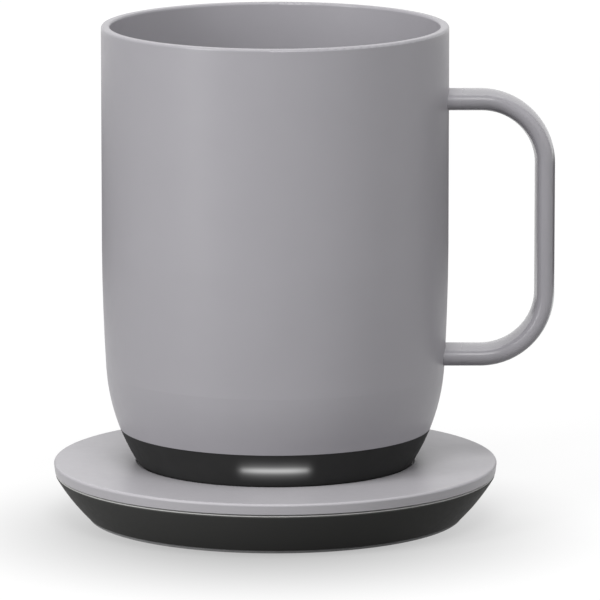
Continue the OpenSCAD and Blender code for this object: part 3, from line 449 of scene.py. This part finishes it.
def soft_rubber():
    """Soft grey rubber, dusty and dull."""
    finish = Finish("soft_rubber", RUBBER_TONE, roughness=0.8, gloss=0.3)
    finish.shade(finish.noise(size=4 * MM, detail=4.0), share=0.08)
    finish.rough(finish.noise(size=1.2 * MM), low=0.72, high=0.86)
    finish.relief(finish.cells(size=0.4 * MM), depth=0.01 * MM)
    return finish


def contact_gold():
    """Gold plating over turned brass."""
    finish = Finish("contact_gold", GOLD_TONE, roughness=0.25, metallic=1.0)
    finish.shade(finish.noise(size=1.5 * MM, detail=3.0), share=0.05)
    finish.rough(finish.noise(size=0.6 * MM), low=0.2, high=0.34)
    finish.relief(finish.noise(size=0.12 * MM, stretch=(1, 1, 6)), depth=0.001 * MM)
    return finish


def bright_steel():
    """Bright steel with fine drawn lines."""
    finish = Finish("bright_steel", STEEL_TONE, roughness=0.3, metallic=1.0)
    finish.shade(finish.noise(size=2 * MM, detail=3.0), share=0.06)
    finish.rough(finish.noise(size=0.5 * MM), low=0.24, high=0.38)
    finish.relief(finish.noise(size=0.1 * MM, stretch=(1, 1, 5)), depth=0.001 * MM)
    return finish


def circuit_board():
    """Green solder mask over copper tracks."""
    finish = Finish("circuit_board", BOARD_TONE, roughness=0.35)
    inputs = {"Vector": finish.place, "Scale": 1 / (3 * MM), "Mortar Size": 0.03}
    lines = finish.node("ShaderNodeTexBrick", inputs, output="Fac")
    finish.colour(lines, linear(BOARD_TONE), linear(TRACK_TONE))
    finish.relief(lines, depth=0.03 * MM)
    return finish


def dark_component():
    """Dark moulded ferrite and nylon of the small parts."""
    finish = Finish("dark_component", COMPONENT_TONE, roughness=0.6)
    finish.shade(finish.noise(size=0.8 * MM, detail=4.0), share=0.12)
    finish.relief(finish.noise(size=0.2 * MM), depth=0.008 * MM)
    return finish


def lamp_white():
    """White lamps with a cloudy yellow phosphor."""
    finish = Finish("lamp_white", LAMP_TONE, roughness=0.45)
    finish.colour(finish.noise(size=1.2 * MM), linear(LAMP_TONE), linear(PHOSPHOR_TONE))
    return finish


def light_guide():
    """Smoky clear plastic that the lamps light from behind."""
    finish = Finish("light_guide", DARK_TONE, roughness=0.5, gloss=0.02)
    finish.shade(finish.noise(size=6 * MM, detail=3.0), share=0.05)
    finish.relief(finish.noise(size=0.25 * MM), depth=0.004 * MM)
    finish.glow()
    return finish


def tray_plastic():
    """Pale moulded plastic."""
    finish = Finish("tray_plastic", TRAY_TONE, roughness=0.5)
    finish.shade(finish.noise(size=5 * MM, detail=3.0), share=0.04)
    finish.relief(finish.noise(size=0.3 * MM), depth=0.006 * MM)
    return finish


def cell_wrap():
    """Shrink wrap of the cells, with faint creases."""
    finish = Finish("cell_wrap", WRAP_TONE, roughness=0.35)
    finish.shade(finish.noise(size=8 * MM, detail=3.0), share=0.08)
    finish.relief(finish.noise(size=2.5 * MM, detail=3.0, stretch=(3, 1, 1)), depth=0.05 * MM)
    return finish


def insulation_felt():
    """Pale felt of short fibres."""
    finish = Finish("insulation_felt", FELT_TONE, roughness=0.95, gloss=0.2)
    finish.shade(finish.noise(size=0.8 * MM, detail=6.0, stretch=(1, 3, 2)), share=0.12)
    finish.relief(finish.noise(size=0.4 * MM, detail=5.0, stretch=(3, 1, 2)), depth=0.12 * MM)
    return finish


def heater_amber():
    """Amber film with the heater's track showing through it."""
    finish = Finish("heater_amber", AMBER_TONE, roughness=0.3)
    inputs = {"Vector": finish.place, "Scale": 1 / (12 * MM), "Distortion": 0.0}
    track = finish.node("ShaderNodeTexWave", inputs, output="Fac", wave_type="RINGS", rings_direction="Z")
    finish.colour(finish.spread(track), linear(AMBER_TONE), linear(HEATER_TONE))
    return finish


def spreader_metal():
    """Rolled aluminium."""
    finish = Finish("spreader_metal", SPREADER_TONE, roughness=0.35, metallic=1.0)
    finish.shade(finish.noise(size=1.5 * MM, detail=3.0, stretch=(12, 1, 1)), share=0.05)
    finish.rough(finish.noise(size=0.8 * MM, stretch=(10, 1, 1)), low=0.28, high=0.42)
    return finish


FINISHES = (coated_steel, coated_plate, dark_plastic, soft_rubber, contact_gold, bright_steel, circuit_board,
            dark_component, lamp_white, light_guide, tray_plastic, cell_wrap, insulation_felt, heater_amber,
            spreader_metal)


@functools.cache
def finish_of(slot):
    """The material of a slot, made once."""
    make = next(make for make in FINISHES if make.__name__ == slot)
    return make().material


# Pieces

def piece_of(name, mesh, *stands_for):
    """Object of a mesh that stands for CAD nodes, rides on their body and takes their finish."""
    piece = added(name, mesh)
    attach(piece, body_of[stands_for[0]])
    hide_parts(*stands_for)
    piece.data.materials.append(finish_of(slot_of[stands_for[0]]))
    return piece


def least_radius(node):
    """Smallest distance of a node's points from the mug's axis."""
    return min(v.co.xy.length for v in nodes[node].data.vertices)


def foot_pad():
    """Soft pad that the coaster stands on, with a moulded round edge."""
    low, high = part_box("coaster_foot_pad")
    outline = [(0, low.z), (high.x, low.z), (high.x, high.z), (0, high.z)]
    piece_of("foot_pad", revolved("foot_pad", softened(outline, PAD_EDGE)), "coaster_foot_pad")


def foot_ring():
    """Soft ring that the mug stands on."""
    low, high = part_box("mug_foot_ring")
    inside = least_radius("mug_foot_ring")
    outline = [(inside, low.z), (high.x, low.z), (high.x, high.z), (inside, high.z)]
    piece_of("foot_ring", revolved("foot_ring", softened(outline, RING_EDGE)), "mug_foot_ring")


def seal_ring():
    """Round sealing ring."""
    low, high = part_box("base_seal")
    thick = (high.z - low.z) / 2
    middle = Vector((high.x - thick, (low.z + high.z) / 2))
    outline = [(middle.x + thick * math.cos(a), middle.y + thick * math.sin(a)) for a in circle(WIRE_STEPS)]
    piece_of("seal_ring", revolved("seal_ring", outline), "base_seal")


def gland():
    """Flanged sleeve at the back of the coaster."""
    low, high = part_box("cord_gland")
    axis_z = (low.z + high.z) / 2
    points = [v.co for v in nodes["cord_gland"].data.vertices]
    radius_of = [math.hypot(p.x, p.z - axis_z) for p in points]
    end = [r for r, p in zip(radius_of, points) if high.y - p.y < TINY]
    sleeve, bore = max(end), min(end)
    flange = max(radius_of)
    flange_end = max(p.y for r, p in zip(radius_of, points) if r > (flange + sleeve) / 2)
    outline = [(bore, low.y), (flange, low.y), (flange, flange_end), (sleeve, flange_end), (sleeve, high.y),
               (bore, high.y)]
    mesh = revolved("gland_sleeve", softened(outline, GLAND_EDGE))
    mesh.transform(Matrix.Translation((0, 0, axis_z)) @ Matrix.Rotation(-math.pi / 2, 4, "X"))
    piece_of("gland_sleeve", mesh, "cord_gland")


def spring(node, turns):
    """Coil spring of round wire with shut ends, on a mesh of its own."""
    low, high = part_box(node)
    centre = (low + high) / 2
    radius = (high.x - low.x - SPRING_WIRE) / 2
    bottom = low.z + SPRING_WIRE / 2
    rise = high.z - low.z - SPRING_WIRE
    shut_rise = SPRING_SHUT_TURNS * SPRING_WIRE
    all_turns = turns + 2 * SPRING_SHUT_TURNS
    steps = round(all_turns * WIRE_STEPS)

    def height_at(turn):
        if turn < SPRING_SHUT_TURNS:
            return bottom + turn * SPRING_WIRE
        if turn > all_turns - SPRING_SHUT_TURNS:
            return bottom + rise - (all_turns - turn) * SPRING_WIRE
        return bottom + shut_rise + (turn - SPRING_SHUT_TURNS) / turns * (rise - 2 * shut_rise)

    points = []
    for k in range(steps + 1):
        turn = all_turns * k / steps
        angle = 2 * math.pi * turn
        out = Vector((math.cos(angle), math.sin(angle), 0))
        middle = Vector((centre.x, centre.y, height_at(turn))) + radius * out
        for side in circle(WIRE_SIDES):
            points.append(middle + SPRING_WIRE / 2 * (math.cos(side) * out + math.sin(side) * UP))
    piece = piece_of(node + "_coil", tube(node, points, WIRE_SIDES), node)
    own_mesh(piece)


def dress():
    """Pieces that stand for soft and wound CAD solids, and a finish on every CAD node."""
    foot_pad()
    foot_ring()
    seal_ring()
    gland()
    felt = rounded_copy("insulation_felt", "insulation_disc", FELT_EDGE)
    piece_of("insulation_felt", felt, "insulation_disc")
    spring("inner_pin_spring", PIN_SPRING_TURNS)
    spring("outer_pin_spring", PIN_SPRING_TURNS)
    spring("button_spring", BUTTON_SPRING_TURNS)
    for name, node in nodes.items():
        node.data.materials.clear()
        node.data.materials.append(finish_of(slot_of[name]))


# Stage

def seen_rays(tree):
    """Output that is 1 for rays that show the background to the camera, straight or in a mirror or glass."""
    path = tree.nodes.new("ShaderNodeLightPath")
    seen = path.outputs["Is Camera Ray"]
    for kind in ("Is Glossy Ray", "Is Transmission Ray"):
        seen = new_node(tree, "ShaderNodeMath", {0: seen, 1: path.outputs[kind]}, operation="MAXIMUM")
    return seen


def world_light():
    """Even fill light, with a background that the camera sees as white."""
    world = bpy.data.worlds.new("studio")
    bpy.context.scene.world = world
    world.use_nodes = True
    tree = world.node_tree
    strength = new_node(tree, "ShaderNodeMapRange",
                        {"Value": seen_rays(tree), "To Min": FILL_LIGHT, "To Max": 1.0})
    tree.links.new(strength, tree.nodes["Background"].inputs["Strength"])
    tree.nodes["Background"].inputs["Color"].default_value = linear(WHITE)


def sheet(name, half_width, low, high, level=0.0):
    """Flat rectangle of the stage, with a material of its own."""
    mesh = bpy.data.meshes.new(name)
    corners = ((-half_width, low), (half_width, low), (half_width, high), (-half_width, high))
    mesh.from_pydata([(x, y, level) for x, y in corners], [], [(0, 1, 2, 3)])
    material = bpy.data.materials.new(name)
    material.use_nodes = True
    mesh.materials.append(material)
    return added(name, mesh)


def floor():
    """Plain pale floor that keeps the object's shadow, with a painted shadow round the object that runs out
    to white.
    """
    plane = sheet("floor", FLOOR_REACH, -FLOOR_REACH, FLOOR_REACH, cad_box[0].z - FLOOR_GAP)
    tree = plane.data.materials[0].node_tree
    tree.nodes.remove(tree.nodes["Principled BSDF"])
    place = tree.nodes.new("ShaderNodeTexCoord").outputs["Object"]
    away = new_node(tree, "ShaderNodeVectorMath", {0: place, 1: FLOOR_PAINTED_SHADOW_AT}, output="Value",
                    operation="DISTANCE")
    # Painted shadow: the seen light is darker near the object and runs out to white
    light = 0.0
    for near, far, near_light, far_light in FLOOR_RAMPS:
        inputs = {"Value": away, "From Min": near, "From Max": far, "To Min": near_light, "To Max": far_light}
        ramp = new_node(tree, "ShaderNodeMapRange", inputs, interpolation_type="SMOOTHSTEP")
        light = new_node(tree, "ShaderNodeMath", {0: ramp, 1: light}, operation="ADD")
    seen_light = new_node(tree, "ShaderNodeMath", {0: seen_rays(tree), 1: light}, operation="MULTIPLY")
    matte = new_node(tree, "ShaderNodeBsdfDiffuse", {"Color": linear(FLOOR_TONE)})
    lift = new_node(tree, "ShaderNodeEmission", {"Strength": seen_light})
    both = new_node(tree, "ShaderNodeAddShader", {0: matte, 1: lift})
    tree.links.new(both, tree.nodes["Material Output"].inputs["Surface"])


def aim(thing, azimuth, rise, distance):
    """Turns a lamp or card to the middle of the object. Azimuth 0 is in front of it and 90 on its right."""
    middle = (cad_box[0] + cad_box[1]) / 2
    across, up = math.radians(azimuth), math.radians(rise)
    way = Vector((math.sin(across) * math.cos(up), -math.cos(across) * math.cos(up), math.sin(up)))
    thing.location = middle + distance * way
    thing.rotation_euler = way.to_track_quat("Z", "Y").to_euler()
    thing.visible_camera = False


def softbox(name, azimuth, rise, distance, size, power):
    """Soft lamp aimed at the object."""
    data = bpy.data.lights.new(name, "AREA")
    data.shape = "RECTANGLE"
    data.size, data.size_y = size
    data.energy = power
    aim(added(name, data), azimuth, rise, distance)


def dark_card(name, azimuth):
    """Dark card beside the backdrop, which only gloss shows, so that pale edges keep a line on white."""
    foot = -(cad_box[0].z + cad_box[1].z) / 2
    card = sheet(name, CARD_WIDTH / 2, foot, foot + CARD_HEIGHT)
    aim(card, azimuth, rise=0, distance=CARD_DISTANCE)
    card.visible_diffuse = False
    card.visible_shadow = False
    shader = card.data.materials[0].node_tree.nodes["Principled BSDF"]
    shader.inputs["Base Color"].default_value = linear(CARD_TONE)
    shader.inputs["Specular IOR Level"].default_value = 0.0


def studio():
    """Floor, light and camera."""
    world_light()
    floor()
    dark_card("left_card", -180 + CARD_TURN)
    dark_card("right_card", 180 - CARD_TURN)
    softbox("key", azimuth=-52, rise=20, distance=1.2, size=(0.3, 1.2), power=10.5)
    softbox("side", azimuth=68, rise=20, distance=1.4, size=(1.6, 1.4), power=5.6)
    softbox("top", azimuth=0, rise=60, distance=1.35, size=(0.7, 0.7), power=9.6)
    softbox("back", azimuth=180, rise=50, distance=1.35, size=(0.9, 0.7), power=2.8)
    data = bpy.data.cameras.new("camera")
    data.lens = CAMERA_LENS
    data.sensor_width = CAMERA_SENSOR
    data.clip_end = CAMERA_REACH
    camera = added("camera", data)
    camera.location = CAMERA_PLACE
    camera.rotation_euler = (CAMERA_PITCH, 0.0, 0.0)
    bpy.context.scene.camera = camera
    bpy.context.scene.view_settings.view_transform = "Standard"


dress()
studio()
